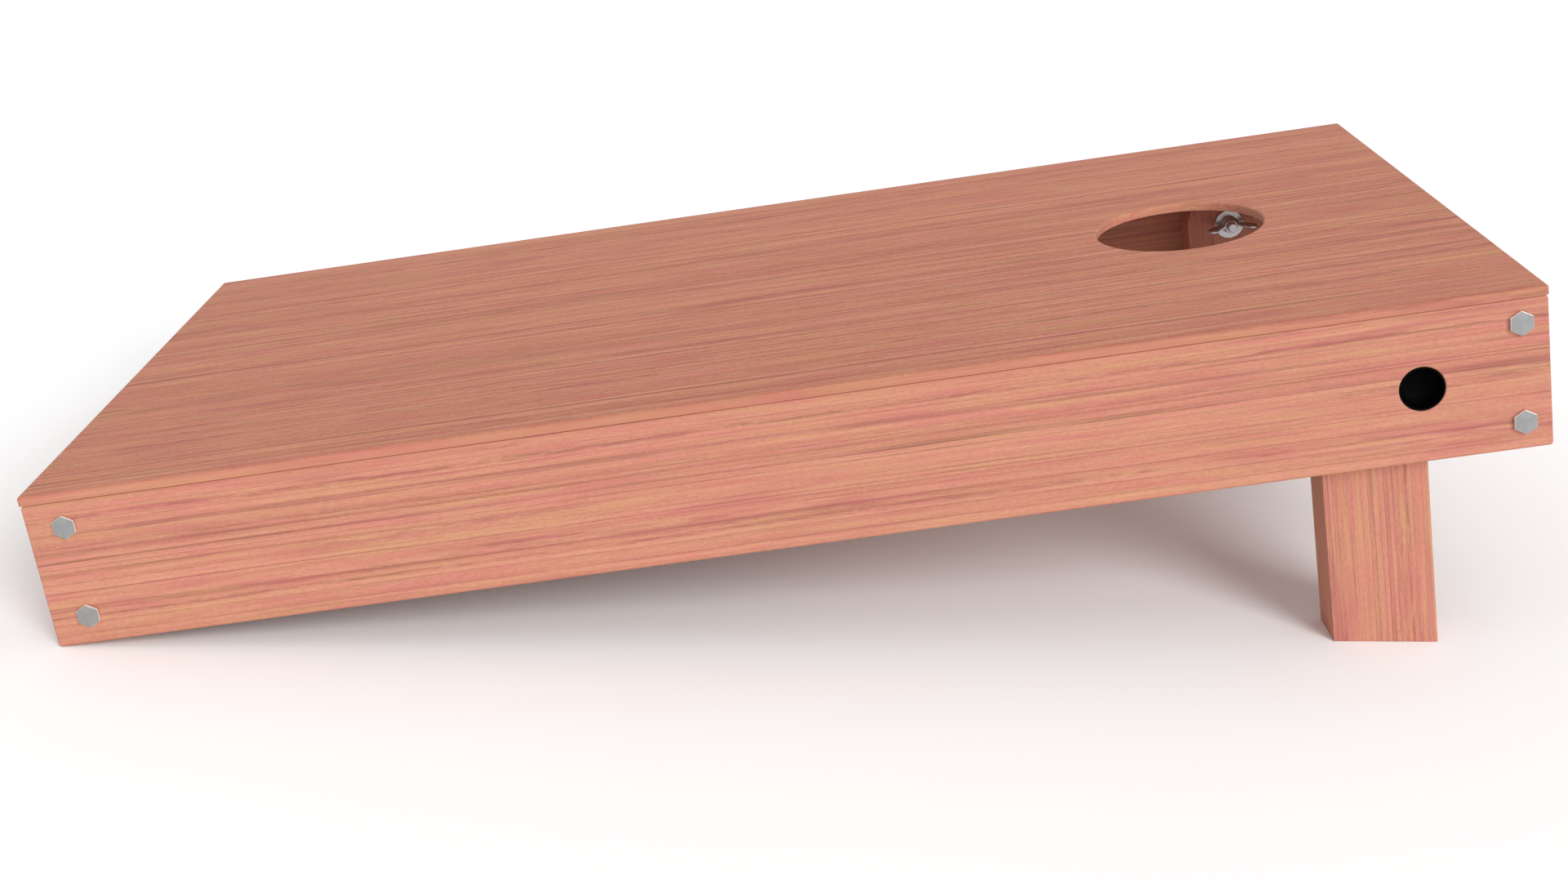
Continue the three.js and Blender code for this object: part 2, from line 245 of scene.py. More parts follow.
def plate(outline, holes, low, high, edge, steps=4, lower_edge=None):
    """An outline in x and y made solid from z = low to high, with every edge rounded."""
    low_edge = lower_edge or edge
    shape = Shape()
    quarter = [math.pi / 2 * k / steps for k in range(steps + 1)]
    profile = [(edge * (1 - math.cos(a)), high - edge * (1 - math.sin(a)), a) for a in reversed(quarter)]
    profile += [(low_edge * (1 - math.cos(a)), low + low_edge * (1 - math.sin(a)), -a) for a in quarter]
    tops, bottoms = [], []
    for loop in [outline, *holes]:
        rings = []
        for inset, height, angle in profile:
            pairs = []
            for point, outward in loop:
                normal = (outward * math.cos(angle)).to_3d() + Vector((0, 0, math.sin(angle)))
                pairs.append((Vector((*(point - outward * inset), height)), normal))
            rings.append(shape.ring(pairs))
        for upper, lower in zip(rings, rings[1:]):
            shape.bridge(lower, upper)
        tops.append(rings[0])
        bottoms.append(rings[-1])
    shape.cap(tops)
    shape.cap(bottoms)
    return shape


def turned(profile, segments, closed=False):
    """A body turned about z from (radius, z) pairs with normals. An open profile has both ends on z."""
    shape = Shape()
    rings = []
    poles = []
    for point, normal in profile:
        if point.x == 0:
            poles.append((Vector((0, 0, point.y)), Vector((0, 0, normal.y))))
        else:
            rings.append(shape.circle(point, normal, segments))
    for a, b in zip(rings, rings[1:]):
        shape.bridge(a, b)
    if closed:
        shape.bridge(rings[-1], rings[0])
    else:
        shape.point_cap(rings[0], *poles[0])
        shape.point_cap(rings[-1], *poles[1])
    return shape


def straight_bore(radius, low, high, segments):
    """A plain cylinder about z, for cutting with. Its normals aren't used."""
    path = [(0, low), (radius, low), (radius, high), (0, high)]
    return turned([(Vector(point), Vector((1, 0))) for point in path], segments)


# Ways in which a shape drawn in x and y, and thick in z, can stand on the board: flat, drawn in the board's
# x and z, or drawn in its y and z
FLAT = Matrix.Identity(4)
ON_SIDE = Matrix(((1, 0, 0, 0), (0, 0, -1, 0), (0, 1, 0, 0), (0, 0, 0, 1)))
ACROSS = Matrix(((0, 0, 1, 0), (1, 0, 0, 0), (0, 1, 0, 0), (0, 0, 0, 1)))


def plank(node, stand, edge, corner=RAIL_CORNER, holes=(), lower_edge=None):
    """A plank as big as a CAD node, drawn on its broad face."""
    low, high = board_box(node)
    a, b = corners([stand.inverted() @ low, stand.inverted() @ high])
    return plate(rounded_rectangle(a.xy, b.xy, corner), holes, a.z, b.z, edge, 5, lower_edge).moved(stand)


# Meshes and pieces -------------------------------------------------------------------------------------
def to_mesh(shape, name, true_normals=True):
    mesh = bpy.data.meshes.new(name)
    mesh.from_pydata(shape.points, [], shape.faces)
    mesh.polygons.foreach_set("use_smooth", [True] * len(mesh.polygons))
    if true_normals:
        mesh.normals_split_custom_set([shape.normals[i] for face in shape.faces for i in face])
    return mesh


def cut_by(mesh, cutter):
    """The mesh with a cutter's shape taken out of it, and its corners kept crisp."""
    body = bpy.data.objects.new("cut_body", mesh)
    tool = bpy.data.objects.new("cut_tool", to_mesh(cutter, "cut_tool", true_normals=False))
    for thing in (body, tool):
        bpy.context.scene.collection.objects.link(thing)
    boolean = body.modifiers.new("cut", "BOOLEAN")
    boolean.object = tool
    boolean.solver = "EXACT"
    view = bpy.context.evaluated_depsgraph_get()
    result = bpy.data.meshes.new_from_object(body.evaluated_get(view), depsgraph=view)
    for thing in (body, tool):
        bpy.data.objects.remove(thing)
    result.polygons.foreach_set("use_smooth", [True] * len(result.polygons))
    result.set_sharp_from_angle(angle=CRISP_ANGLE)
    return result


def even_shading(piece):
    """Keeps a cut piece's flat faces looking flat."""
    piece.modifiers.new("even_shading", "WEIGHTED_NORMAL").keep_sharp = True


def set_grain(mesh, along, across, offset):
    """Stores where each point lies in the wood: along the grain, across it and into the plank, in metres.

    Each plank's offset puts it in another part of the tree. Its ends and its long edges are marked.
    """
    axes = (along, across, along.cross(across))
    grain = mesh.attributes.new("grain", "FLOAT_VECTOR", "POINT")
    places = []
    for vertex in mesh.vertices:
        places += (Vector([vertex.co.dot(axis) for axis in axes]) + Vector(offset))[:]
    grain.data.foreach_set("vector", places)
    ends = mesh.attributes.new("end_grain", "FLOAT", "FACE")
    ends.data.foreach_set("value", [abs(face.normal.dot(along)) ** 4 for face in mesh.polygons])
    edges = mesh.attributes.new("long_edge", "FLOAT", "FACE")
    edges.data.foreach_set("value", [abs(face.normal.dot(across)) ** 2 for face in mesh.polygons])


def add_piece(name, mesh, material, node, place=None):
    """A finished piece that stands for a CAD node and rides with its body.

    With a place, its mesh keeps an origin of its own there, and pieces may share it. Without one, the mesh
    is drawn in the board's frame, and is moved to the row's.
    """
    piece = bpy.data.objects.new(name, mesh)
    bpy.context.scene.collection.objects.link(piece)
    if place is None:
        mesh.transform(BOARD)
    else:
        piece.matrix_world = place
    if not mesh.materials:
        mesh.materials.append(material)
    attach(piece, NODES[node]["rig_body"])
    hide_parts(node)
    return piece


# Node helpers ------------------------------------------------------------------------------------------
class Material:
    """A material with a few short ways to wire its nodes."""

    def __init__(self, name):
        self.material = bpy.data.materials.new(name)
        self.material.use_nodes = True
        self.tree = self.material.node_tree
        self.tree.nodes.clear()
        self.shader = self.tree.nodes.new("ShaderNodeBsdfPrincipled")
        output = self.tree.nodes.new("ShaderNodeOutputMaterial")
        self.tree.links.new(self.shader.outputs["BSDF"], output.inputs["Surface"])

    def node(self, kind, inputs=(), **settings):
        node = self.tree.nodes.new("ShaderNode" + kind)
        for key, value in settings.items():
            setattr(node, key, value)
        for key, value in dict(inputs).items():
            self.set(node.inputs[key], value)
        return node

    def set(self, socket, value):
        if isinstance(value, bpy.types.NodeSocket):
            self.tree.links.new(value, socket)
        else:
            socket.default_value = value

    def math(self, operation, a, b=0.0, c=0.0, clamp=False):
        inputs = {0: a, 1: b, 2: c}
        return self.node("Math", inputs, operation=operation, use_clamp=clamp).outputs[0]

    def attribute(self, name, output):
        return self.node("Attribute", attribute_name=name).outputs[output]

    def stretched(self, vector, scale, shift=(0, 0, 0)):
        inputs = {"Vector": vector, "Scale": scale, "Location": shift}
        return self.node("Mapping", inputs).outputs["Vector"]

    def noise(self, vector, scale=1.0, detail=2.0, roughness=0.5):
        inputs = {"Vector": vector, "Scale": scale, "Detail": detail, "Roughness": roughness}
        return self.node("TexNoise", inputs).outputs[0]

    def ramp(self, value, low, high, to_low=0.0, to_high=1.0, smooth=True):
        """value from low to high becomes to_low to to_high, and stays there outside."""
        kind = "SMOOTHSTEP" if smooth else "LINEAR"
        inputs = {"Value": value, "From Min": low, "From Max": high, "To Min": to_low, "To Max": to_high}
        return self.node("MapRange", inputs, interpolation_type=kind).outputs["Result"]

    def mix(self, share, a, b, blend="MIX"):
        node = self.node("Mix", data_type="RGBA", blend_type=blend)
        for key, value in {0: share, 6: a, 7: b}.items():
            self.set(node.inputs[key], value)
        return node.outputs[2]

    def bump(self, height, strength, distance):
        inputs = {"Height": height, "Strength": strength, "Distance": distance}
        return self.node("Bump", inputs).outputs["Normal"]

    def finish(self, **inputs):
        for key, value in inputs.items():
            self.set(self.shader.inputs[key.replace("_", " ")], value)
        return self.material


# Wood --------------------------------------------------------------------------------------------------
# Colours are linear. A plank's colour wanders between tan and pink, with mauve-brown lines of dark wood.
SALMON = (0.628, 0.303, 0.197, 1)
TAN = (0.620, 0.334, 0.185, 1)
PINK = (0.640, 0.252, 0.199, 1)
DARK_WOOD = (0.320, 0.092, 0.066, 1)
MAUVE_SMEAR = (0.410, 0.125, 0.115, 1)
MAUVE_LINE = (0.270, 0.086, 0.078, 1)
BROWN_LINE = (0.200, 0.082, 0.052, 1)
END_GRAIN = (0.420, 0.190, 0.120, 1)
END_RING = (0.200, 0.075, 0.046, 1)
RING_WIDTH = 0.0028
RING_CURVE = 5.0                # how much the rings bend across a plank
NO_TINT = (1, 1, 1, 1)
DECK_TINT = (1.0, 0.92, 0.85, 1)
INNER_TINT = (0.96, 1.0, 0.95, 1)
PALE_EDGE = (1.01, 1.01, 0.985, 1)

# The boldest dark lines on each plank's broad face, as (millimetres across the plank, width, darkness). A
# rail is measured from its lower edge, the deck and the legs from their middles. Bands are wider, and are
# broken up into dashes.
RAIL_LINES = [
    (9, 2.2, 0.32), (19, 1.8, 0.38), (46.5, 1.5, 0.62), (50, 1.2, 0.2), (54, 1.2, 0.2),
    (67.5, 1.4, 0.5), (72.5, 1.6, 0.85), (85, 1.6, 0.55), (105, 1.6, 0.4), (115.5, 1.6, 0.35),
]
RAIL_BANDS = [(24.5, 5, 0.8), (86, 7, 0.35), (110, 7, 0.85)]
DECK_LINES = [
    (-290, 3, 0.4), (-265, 4, 0.45), (-182, 2.6, 0.5), (-163, 2.2, 0.5), (-157, 2, 0.3),
    (-125, 3, 0.6), (-58, 3, 0.55), (0, 2.6, 0.5), (14, 2.4, 0.5), (39, 2.6, 0.5),
    (166, 3, 0.5), (197, 3, 0.4),
]
DECK_BANDS = [(-218, 7, 0.9), (-92, 8, 0.7), (-37, 7, 0.5), (108, 10, 0.6), (153, 9, 0.4), (250, 12, 0.6)]
LEG_LINES = [
    (-39, 2, 0.5), (-22.5, 1.8, 0.5), (-7, 1.6, 0.25), (-3.5, 1.6, 0.5), (6, 1.8, 0.7),
    (28.5, 1.4, 0.4),
]
LEG_BANDS = [(23.5, 5, 0.8), (-33, 6, 0.4)]


def wood_material(name, lines=(), bands=(), fineness=1.0, tint=NO_TINT, roughness=0.6, contrast=1.0):
    m = Material(name)
    place = m.attribute("grain", "Vector")
    long_edge = m.attribute("long_edge", "Fac")

    def wood_noise(along, across, shift, detail, noise_roughness=0.5):
        fine = across * fineness
        return m.noise(m.stretched(grain, (along, fine, fine), shift), 1, detail, noise_roughness)

    # The grain wanders by a millimetre or two over a plank's length, and wobbles a little on the way
    wander = m.noise(m.stretched(place, (3.5, 9, 9)), detail=1)
    wobble = m.noise(m.stretched(place, (45, 160, 160), (7, 7, 7)), detail=2)
    wander_sway = m.math("MULTIPLY_ADD", wander, 0.004, -0.002)
    wobble_sway = m.math("MULTIPLY_ADD", wobble, 0.0006, -0.0003)
    sway = m.math("ADD", wander_sway, wobble_sway)
    sideways = m.node("CombineXYZ", {"Y": sway, "Z": sway}).outputs[0]
    grain = m.node("VectorMath", {0: place, 1: sideways}).outputs[0]
    across = m.node("SeparateXYZ", {0: grain}).outputs["Y"]

    # Patches of tan and pink
    tans = wood_noise(9, 130, (0, 0, 0), 2, 0.55)
    pinks = wood_noise(11, 140, (11, 2, 9), 2, 0.55)
    colour = m.mix(m.ramp(tans, 0.47, 0.66), SALMON, TAN)
    colour = m.mix(m.ramp(pinks, 0.50, 0.66, 0, 0.8), colour, PINK)

    # Streaks that run the whole plank, shorter fibres, and a fine mottle. Long edges are calmer.
    broad = wood_noise(0.9, 55, (9, 4, 6), 2)
    streak = wood_noise(0.4, 300, (2, 4, 6), 3, 0.6)
    fibres = wood_noise(14, 420, (1, 2, 3), 3, 0.62)
    mottle = m.noise(m.stretched(grain, (230, 700, 700), (6, 2, 3)), detail=2, roughness=0.6)
    calm = m.ramp(long_edge, 0, 1, 1, 0.2)
    mottle = m.math("MULTIPLY_ADD", m.math("SUBTRACT", mottle, 0.5), calm, 0.5)
    tone = None
    for layer, strength in ((broad, 0.34), (streak, 1.0), (fibres, 0.50), (mottle, 0.72)):
        strength *= contrast
        part = m.math("MULTIPLY_ADD", layer, strength, -strength / 2)
        tone = part if tone is None else m.math("ADD", tone, part)
    tone = m.math("MULTIPLY", tone, m.ramp(long_edge, 0, 1, 1, 0.6))
    colour = m.mix(m.ramp(tone, 0.50, -0.50, 0.0, 0.85, smooth=False), colour, DARK_WOOD)

    def strongest(marks):
        """How dark these marks, listed as (mm across the plank, width, darkness), are at each point."""
        total = None
        for middle, width, darkness in marks:
            off = m.math("ABSOLUTE", m.math("SUBTRACT", across, middle / 1000))
            mark = m.ramp(off, 0, width / 2000, min(darkness * 1.3, 1.0), 0)
            total = mark if total is None else m.math("MAXIMUM", total, mark)
        return total

    # Thin dark lines, which grow fainter and darker on their way
    peaks = wood_noise(0.35, 260, (5, 1, 4), 1)
    line = m.ramp(peaks, 0.62, 0.73, 0, 0.55)
    if lines:
        line = m.math("MAXIMUM", line, strongest(lines))
    fading = m.ramp(wood_noise(12, 140, (8, 8, 8), 3), 0.35, 0.62, 0.45, 1.0)
    line = m.math("MULTIPLY", line, fading)

    # Soft mauve smears, and bands of short broken dashes
    dash = m.ramp(wood_noise(40, 560, (4, 9, 2), 3, 0.7), 0.42, 0.60)
    dash_where = m.ramp(wood_noise(1.6, 75, (2, 7, 1), 2), 0.56, 0.68, 0, 0.6)
    if bands:
        dash_where = m.math("MAXIMUM", dash_where, strongest(bands))
    dashes = m.math("MULTIPLY", dash, dash_where)
    smear = m.ramp(wood_noise(10, 170, (1, 7, 7), 2), 0.44, 0.66)
    smear_patches = m.ramp(wood_noise(5, 50, (6, 5, 4), 1), 0.5, 0.66, 0.05, 0.45)
    smear_where = m.math("MULTIPLY_ADD", dash_where, 0.6, smear_patches)
    colour = m.mix(m.math("MULTIPLY", smear, smear_where, clamp=True), colour, MAUVE_SMEAR)

    dark = m.math("MAXIMUM", line, m.math("MULTIPLY", dashes, 0.6))
    hue = m.ramp(wood_noise(8, 60, (3, 3, 1), 1), 0.42, 0.58)
    colour = m.mix(dark, colour, m.mix(hue, MAUVE_LINE, BROWN_LINE))
    colour = m.mix(1.0, colour, m.mix(long_edge, tint, PALE_EDGE), "MULTIPLY")

    # The ends show the year rings, cut across, and their pores
    split = m.node("SeparateXYZ", {0: place}).outputs
    bend = m.math("MULTIPLY", m.math("POWER", m.math("ABSOLUTE", split["Y"]), 2), RING_CURVE)
    depth = m.math("MULTIPLY_ADD", wobble, 0.004, m.math("ADD", split["Z"], bend))
    ring = m.math("FRACT", m.math("DIVIDE", depth, RING_WIDTH))
    late_wood = m.math("MULTIPLY", m.math("POWER", ring, 3), 0.65)
    pores = m.ramp(m.noise(m.stretched(place, (300, 2600, 2600)), detail=1), 0.60, 0.72, 0, 0.5)
    end_colour = m.mix(m.math("MAXIMUM", late_wood, pores), END_GRAIN, END_RING)
    colour = m.mix(m.math("MULTIPLY", m.attribute("end_grain", "Fac"), 0.9), colour, end_colour)

    height = m.math("SUBTRACT", tone, m.math("MULTIPLY", dark, 0.5))
    rough = m.ramp(fibres, 0.3, 0.7, roughness + 0.06, roughness - 0.05)
    normal = m.bump(height, 0.25, 0.0003)
    return m.finish(Base_Color=colour, Roughness=rough, Normal=normal, Specular_IOR_Level=0.18)


# Metal and plastic -------------------------------------------------------------------------------------
def steel_material(name, colour, roughness, painted_sheen_colour=None):
    """Steel. Faces whose "side" attribute is set take a brighter colour of their own, a painted sheen that
    stands in for the reflections and highlights on a bolt head's sides and bevels.
    """
    m = Material(name)
    place = m.node("TexCoord").outputs["Object"]
    cloud = m.noise(place, 160, detail=4, roughness=0.6)
    speck = m.noise(place, 1900, detail=2)
    tone = m.ramp(cloud, 0.3, 0.7, 0.93, 1.06)
    shade = m.node("CombineXYZ", {"X": tone, "Y": tone, "Z": tone}).outputs[0]
    # Painted sheen: faces marked "side" are given a pale colour in place of their reflections and
    # highlights
    if painted_sheen_colour:
        colour = m.mix(m.attribute("side", "Fac"), colour, painted_sheen_colour)
    surface = m.mix(1.0, colour, shade, "MULTIPLY")
    wear = m.math("ADD", m.math("MULTIPLY", cloud, 0.7), m.math("MULTIPLY", speck, 0.3))
    rough = m.ramp(wear, 0.3, 0.7, roughness - 0.06, roughness + 0.06)
    normal = m.bump(speck, 0.06, 0.0002)
    return m.finish(Base_Color=surface, Metallic=1.0, Roughness=rough, Normal=normal)


def plastic_material(name):
    m = Material(name)
    place = m.node("TexCoord").outputs["Object"]
    pebble = m.noise(place, 1400, detail=2)
    rough = m.ramp(m.noise(place, 90, detail=3), 0.3, 0.7, 0.55, 0.68)
    return m.finish(Base_Color=(0.0016, 0.0016, 0.0018, 1), Roughness=rough,
                    Normal=m.bump(pebble, 0.12, 0.0002), Specular_IOR_Level=0.025)


BOLT_GREY = (0.355, 0.357, 0.36, 1)
# The pale colour below is a painted sheen. It brightens the bolt heads' sides and bevels in place of their
# reflections and highlights
BOLT_PAINTED_SHEEN = (0.90, 0.88, 0.87, 1)
ZINC = (0.60, 0.61, 0.63, 1)
MATERIALS = {
    "deck_wood": wood_material("deck_wood", DECK_LINES, DECK_BANDS, 0.7, DECK_TINT, contrast=1.4),
    "frame_wood": wood_material("frame_wood", RAIL_LINES, RAIL_BANDS, contrast=0.88),
    "leg_wood": wood_material("leg_wood", LEG_LINES, LEG_BANDS, contrast=0.85),
    "inner_wood": wood_material("inner_wood", tint=INNER_TINT, roughness=0.68),
    "bolt_steel": steel_material("bolt_steel", BOLT_GREY, 0.38, BOLT_PAINTED_SHEEN),
    "zinc_steel": steel_material("zinc_steel", ZINC, 0.34),
    "black_plastic": plastic_material("black_plastic"),
}


def wooden_piece(node, mesh, along, across, offset):
    """A piece of wood. Its grain's ways are given in the board's frame, and its offset in metres."""
    set_grain(mesh, along, across, offset)
    return add_piece("v_" + node, mesh, MATERIALS[SLOTS[node]], node)


X, Y, Z = Vector((1, 0, 0)), Vector((0, 1, 0)), Vector((0, 0, 1))

# Deck and frame ----------------------------------------------------------------------------------------
def add_deck():
    _, high = board_box("deck")
    centre = (high.x - SCORING_HOLE_FROM_HIGH_END, 0)
    hole = round_hole(centre, SCORING_HOLE_RADIUS, 160)
    shape = plank("deck", FLAT, DECK_EDGE, DECK_CORNER, [hole], DECK_LOWER_EDGE)
    wooden_piece("deck", to_mesh(shape, "deck"), X, Y, offset=(0.3, 0, 0.1))


def add_side_rail(side):
    node = "side_rail_" + side
    low, high = board_box("finger_cup_" + side)
    centre = ((low.x + high.x) / 2, (low.z + high.z) / 2)
    hole = round_hole(centre, (high.x - low.x) / 2 + CUP["clearance"], 96)
    shape = plank(node, ON_SIDE, RAIL_EDGE, holes=[hole])
    wooden_piece(node, to_mesh(shape, node), X, Z, offset=(SIDES[side] * 2.1, 0, SIDES[side] * 0.4))


def add_end_rail(node, shift):
    shape = plank(node, ACROSS, RAIL_EDGE)
    wooden_piece(node, to_mesh(shape, node), Y, Z, offset=(shift, 0, shift))


# Screws ------------------------------------------------------------------------------------------------
AXIS_STEPS = 30


def axis_of(node):
    """A screw in the board's frame, as (the middle of its head's top, the way that faces, its length)."""
    points = points_in(TO_BOARD, node)
    middle = sum(points, Vector()) / len(points)
    way = max(points, key=lambda p: (p - middle).length) - middle
    # The points' spread pulls the way onto the long axis, step by step
    for _ in range(AXIS_STEPS):
        way = sum(((p - middle) * (p - middle).dot(way) for p in points), Vector()).normalized()
    reach = [(p - middle).dot(way) for p in points]
    widest = max(points, key=lambda p: ((p - middle) - way * (p - middle).dot(way)).length)
    if (widest - middle).dot(way) < 0:
        way = -way
        reach = [-r for r in reach]
    return middle + way * max(reach), way, max(reach) - min(reach)


def screw_shape(size, length):
    """A screw that points down, with a cross recess in its head, whose top is at z = 0."""
    head_radius, head_height, shank_radius = size["head"], size["height"], size["shank"]
    edge, rim_height, pan_rounding, tip_rounding = 0.0002, 0.0003, 0.0009, 0.0004
    path = [(head_radius * 0.7, 0)]
    # A sunk head tapers from its rim to the shank, and a pan head widens downwards
    if size["sunk"]:
        path += [(head_radius, 0), (head_radius, -rim_height)]
    else:
        path += [(head_radius * 0.8, 0), (head_radius, -head_height)]
    path += [(shank_radius, -head_height), (shank_radius, 3 * shank_radius - length), (0, -length)]
    radii = [0, edge if size["sunk"] else pan_rounding, edge, edge, tip_rounding, 0]
    profile = rounded_outline(path, radii, 3, closed=False)
    shape = Shape()
    rings = [shape.circle(point, -normal, 36) for point, normal in profile[:-1]]
    for a, b in zip(rings, rings[1:]):
        shape.bridge(a, b)
    shape.point_cap(rings[-1], (0, 0, -length), -Z)

    arm, half = head_radius * 0.56, head_radius * 0.13
    cross = [(half, half), (half, arm), (-half, arm), (-half, half), (-arm, half), (-arm, -half)]
    cross += [(-half, -half), (-half, -arm), (half, -arm), (half, -half), (arm, -half), (arm, half)]
    wall = rounded_outline(cross, [half * 0.3] * len(cross), 2)
    rim = shape.ring([((*p, 0), Z) for p, n in wall])
    top = shape.ring([((*p, 0), -n.to_3d()) for p, n in wall])
    floor_z = -head_height * 0.75
    bottom = shape.ring([((*(p * 0.45), floor_z), -n.to_3d()) for p, n in wall])
    floor = shape.ring([((*(p * 0.45), floor_z), Z) for p, n in wall])
    shape.cap([rings[0], rim])
    shape.bridge(top, bottom)
    shape.cap([floor])
    return shape


screw_meshes = {}
rolls = random.Random(7)


def screws_of(*starts):
    """The screws whose names start in one of these ways, in order."""
    return [node for node in sorted(NODES) if "_screw_" in node and node.startswith(starts)]


def screw_use(node):
    """Which of the kinds in SCREWS a screw is."""
    return next((use for use in SCREWS if node.startswith(use)), "other")


def add_screw(node):
    """Screws of one use and length share a mesh. Each is turned its own way, as screws are."""
    top, way, length = axis_of(node)
    kind = (screw_use(node), round(length, 4))
    if kind not in screw_meshes:
        mesh = to_mesh(screw_shape(SCREWS[kind[0]], length), f"screw_{len(screw_meshes)}")
        weld(mesh)
        screw_meshes[kind] = mesh
    turn = way.to_track_quat("Z", "Y").to_matrix().to_4x4()
    roll = Matrix.Rotation(rolls.uniform(0, math.pi), 4, "Z")
    place = BOARD @ Matrix.Translation(top) @ turn @ roll
    add_piece("v_" + node, screw_meshes[kind], MATERIALS["zinc_steel"], node, place)


def weld(mesh):
    """Joins points that lie on each other. Face corners keep their own normals."""
    normals = [Vector(n.vector) for n in mesh.corner_normals]
    work = bmesh.new()
    work.from_mesh(mesh)
    bmesh.ops.remove_doubles(work, verts=work.verts, dist=1e-7)
    work.to_mesh(mesh)
    work.free()
    mesh.normals_split_custom_set(normals)


# Pieces under the deck ---------------------------------------------------------------------------------
def pockets(nodes):
    """The hollows that the heads of these screws sit in."""
    cutter = Shape()
    for node in nodes:
        top, way, _ = axis_of(node)
        size = SCREWS[screw_use(node)]
        reach = 0.004 if size["sunk"] else 0.05
        radius = size["head"] + GAP
        depth = size["height"] + GAP
        turn = way.to_track_quat("Z", "Y").to_matrix().to_4x4()
        cutter.add(straight_bore(radius, -depth, reach, 40).moved(Matrix.Translation(top) @ turn))
    return cutter


def add_batten(side):
    node = "deck_batten_" + side
    shape = plank(node, ON_SIDE, INNER_EDGE, corner=INNER_EDGE)
    screws = screws_of(f"deck_screw_{side}", f"batten_screw_{side}")
    mesh = cut_by(to_mesh(shape, node, true_normals=False), pockets(screws))
    even_shading(wooden_piece(node, mesh, X, Z, offset=(0.2, 3.1, SIDES[side] * 0.9)))


def add_stop_block(side):
    node = "leg_stop_block_" + side
    shape = plank(node, ON_SIDE, INNER_EDGE, corner=INNER_EDGE)
    screws = screws_of(f"stop_block_screw_{side}")
    mesh = cut_by(to_mesh(shape, node, true_normals=False), pockets(screws))
    even_shading(wooden_piece(node, mesh, Z, X, offset=(1.7, 0.6, SIDES[side] * 0.5)))


def add_brace():
    """A board on edge, with its upper corners notched for the battens."""
    node = "centre_brace"
    low, high = board_box(node)
    batten_low, _ = board_box("deck_batten_left")
    notch_y = batten_low.y - GAP
    notch_z = batten_low.z - GAP
    path = [(low.y, low.z), (high.y, low.z), (high.y, notch_z), (notch_y, notch_z)]
    path += [(notch_y, high.z), (-notch_y, high.z), (-notch_y, notch_z), (low.y, notch_z)]
    outline = rounded_outline(path, [INNER_EDGE] * len(path), 4)
    shape = plate(outline, [], low.x, high.x, INNER_EDGE).moved(ACROSS)
    mesh = cut_by(to_mesh(shape, node, true_normals=False), pockets(screws_of("pocket_screw")))
    even_shading(wooden_piece(node, mesh, Y, Z, offset=(0.9, 2.3, 4.4)))


# Bolts and finger cups ---------------------------------------------------------------------------------
def bolt_shape(length_below, head_height, across_flats):
    """A bolt along z with a low hexagon head on z = 0. Two of the head's flats face along x."""
    radius = across_flats / math.sqrt(3)
    path = [(radius * math.sin(a), radius * math.cos(a)) for a in (-math.pi / 3 * k for k in range(6))]
    head = plate(rounded_outline(path, [BOLT_CORNER] * 6, 3), [], 0, head_height, BOLT_EDGE, 3)
    shank_radius, chamfer = BOLT_SHANK["radius"], BOLT_SHANK["chamfer"]
    shank_corners = [
        (0, -length_below),
        (shank_radius - chamfer, -length_below),
        (shank_radius, chamfer - length_below),
        (shank_radius, head_height / 2),
        (0, head_height / 2),
    ]
    shank = turned(rounded_outline(shank_corners, [0, 0.0002, 0.0002, 0, 0], 2, closed=False), 32)
    return head.add(shank)


def add_bolts():
    mesh = None
    _, rail_high = board_box("side_rail_left")
    for node in sorted(NODES):
        if not node.startswith("frame_bolt_"):
            continue
        low, high = board_box(node)
        side = SIDES[node.split("_")[2]]
        inner, face = distances(node)
        head_base = rail_high.y + GAP
        if mesh is None:
            mesh = to_mesh(bolt_shape(head_base - inner, face - head_base, high.x - low.x), "frame_bolt")
            # All faces but those on top of the head are marked in the "side" attribute, which paints them a
            # brighter colour: a painted sheen for the reflections and highlights on the head's sides and
            # bevels
            painted_sheen_faces = mesh.attributes.new("side", "FLOAT", "FACE")
            painted_sheen_faces.data.foreach_set("value", [float(face.normal.z < 0.85) for face in mesh.polygons])
        middle = Vector(((low.x + high.x) / 2, side * head_base, (low.z + high.z) / 2))
        # The bolt's z points outwards and its y up the rail
        turn = Matrix(((-side, 0, 0, 0), (0, 0, side, 0), (0, 1, 0, 0), (0, 0, 0, 1)))
        place = BOARD @ Matrix.Translation(middle) @ turn
        add_piece("v_" + node, mesh, MATERIALS["bolt_steel"], node, place)


def inward_place(x, y, z, side):
    """A place whose z points inwards from a side rail, and whose y points up the board."""
    way = -SIDES[side]
    turn = Matrix(((-way, 0, 0, x), (0, 0, way, y), (0, 1, 0, z), (0, 0, 0, 1)))
    return BOARD @ turn


def add_cup(side):
    node = "finger_cup_" + side
    low, high = board_box(node)
    outer = (high.x - low.x) / 2
    inner = outer - CUP["wall"]
    depth = high.y - low.y
    floor = depth - CUP["wall"]
    path = [(0, floor), (inner, floor), (inner, 0), (outer, 0), (outer, depth), (0, depth)]
    radii = [0, CUP["floor"], CUP["mouth"], CUP["lip"], CUP["wall"], 0]
    shape = turned(rounded_outline(path, radii, 8, closed=False), 96)
    _, face = distances(node)
    place = inward_place((low.x + high.x) / 2, SIDES[side] * face, (low.z + high.z) / 2, side)
    add_piece("v_" + node, to_mesh(shape, node), MATERIALS["black_plastic"], node, place)


# Pivots ------------------------------------------------------------------------------------------------
def pivot_of(side):
    """Where the leg's pivot is, in the board's x and z."""
    low, high = board_box("pivot_washer_" + side)
    return (low.x + high.x) / 2, (low.z + high.z) / 2


